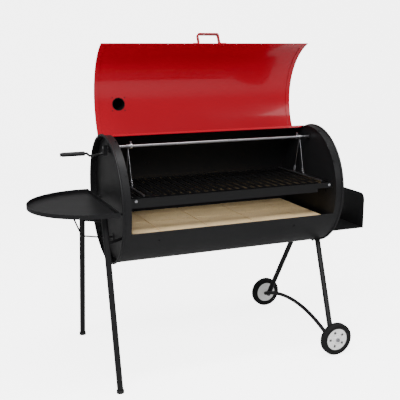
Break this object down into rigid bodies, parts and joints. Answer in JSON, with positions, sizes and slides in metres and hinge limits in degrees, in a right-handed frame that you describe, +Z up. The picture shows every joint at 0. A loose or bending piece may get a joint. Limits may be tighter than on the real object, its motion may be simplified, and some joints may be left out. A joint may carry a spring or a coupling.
{
  "type": "barrel charcoal grill",
  "caption": "Barrel charcoal grill on legs and wheels, with a hinged lid, chimney, crank-raised grate, firebrick bed, round side tray and side shelf.",
  "frame": {"origin": "on the floor, at the centre of the bounding box", "axes": "+X along the barrel from the round tray's end to the shelf's end, +Y from the open front to the back, +Z up"},
  "size_m": [1.504, 0.78, 1.4088],
  "materials": {
    "black_powder": "satin",
    "red_enamel": "gloss",
    "grate_enamel": "gloss",
    "zinc": "satin",
    "steel": "satin",
    "grip_plastic": "matte",
    "firebrick": "matte",
    "foot_plastic": "matte",
    "tyre": "matte",
    "hub_plastic": "gloss"
  },
  "bodies": {
    "barrel": {"barrel_shell": "black_powder", "left_end_cap": "black_powder", "right_end_cap": "black_powder", "left_rim": "black_powder", "right_rim": "black_powder", "rear_strip": "red_enamel", "strip_bolts": "red_enamel", "lid_rest_buttons": "black_powder", "hinge_barrel_leaves": "black_powder", "hinge_pins": "zinc", "hinge_bolts": "zinc", "lid_stays": "black_powder", "shaft_bearings": "black_powder", "left_lift_cables": "steel", "right_lift_cables": "steel", "grate_stops": "black_powder", "firebricks": "firebrick", "brick_pan": "black_powder", "shell_bolts": "black_powder", "side_tray": "black_powder", "tray_rods": "black_powder", "tray_brace": "black_powder", "side_shelf": "black_powder", "shelf_bolts": "zinc", "front_left_leg": "black_powder", "rear_left_leg": "black_powder", "front_right_leg": "black_powder", "rear_right_leg": "black_powder", "left_leg_mounts": "black_powder", "leg_saddles": "black_powder", "foot_caps": "foot_plastic", "wheel_tie": "black_powder", "wheel_axles": "steel", "wheel_nuts": "zinc"},
    "lid": {"lid_sheet": "red_enamel", "lid_end_bands": "red_enamel", "lid_front_band": "red_enamel", "lid_handle": "red_enamel", "handle_screws": "red_enamel", "chimney_flange": "black_powder", "chimney_pipe": "black_powder", "damper_pin": "zinc", "hinge_lid_leaves": "red_enamel"},
    "damper": {"chimney_damper": "black_powder"},
    "crank": {"crank_shaft": "steel", "crank_hub": "black_powder", "crank_arm": "black_powder", "shaft_collars": "zinc", "collar_screws": "zinc"},
    "grip": {"crank_grip": "grip_plastic"},
    "grate": {"grate_bars": "grate_enamel", "grate_frame": "grate_enamel", "grease_trough": "grate_enamel", "trough_bolts": "zinc", "lift_chains": "steel", "lifting_bars": "steel"},
    "front_wheel": {"front_tyre": "tyre", "front_hub": "hub_plastic"},
    "rear_wheel": {"rear_tyre": "tyre", "rear_hub": "hub_plastic"}
  },
  "joints": [
    {"name": "lid_hinge", "type": "hinge", "parent": "barrel", "child": "lid", "pos_m": [0.076, 0.17167, 0.95073], "axis": [-1, 0, 0], "range_deg": [-86.5, 0]},
    {"name": "damper_swivel", "type": "hinge", "parent": "lid", "child": "damper", "pos_m": [-0.26, 0.34947, 1.10483], "axis": [0, 1, -0.0087], "range_deg": [0, 110]},
    {"name": "grate_lift", "type": "slide", "parent": "barrel", "child": "grate", "axis": [0, 0, 1], "range_m": [0, 0.065], "deforming": ["left_lift_cables", "right_lift_cables"]},
    {"name": "crank_turn", "type": "hinge", "parent": "barrel", "child": "crank", "pos_m": [0.076, 0, 0.947], "axis": [1, 0, 0], "range_deg": [0, 518]},
    {"name": "grip_spin", "type": "hinge", "parent": "crank", "child": "grip", "pos_m": [-0.532, 0.09644, 0.91379], "axis": [1, 0, 0], "continuous": true},
    {"name": "front_wheel_spin", "type": "hinge", "parent": "barrel", "child": "front_wheel", "pos_m": [0.51, -0.364, 0.075], "axis": [0, 1, 0], "continuous": true},
    {"name": "rear_wheel_spin", "type": "hinge", "parent": "barrel", "child": "rear_wheel", "pos_m": [0.51, 0.364, 0.075], "axis": [0, 1, 0], "continuous": true}
  ],
  "couplings": [
    {"joint": "crank_turn", "follows": "grate_lift", "rad_per_m": 138.89}
  ]
}
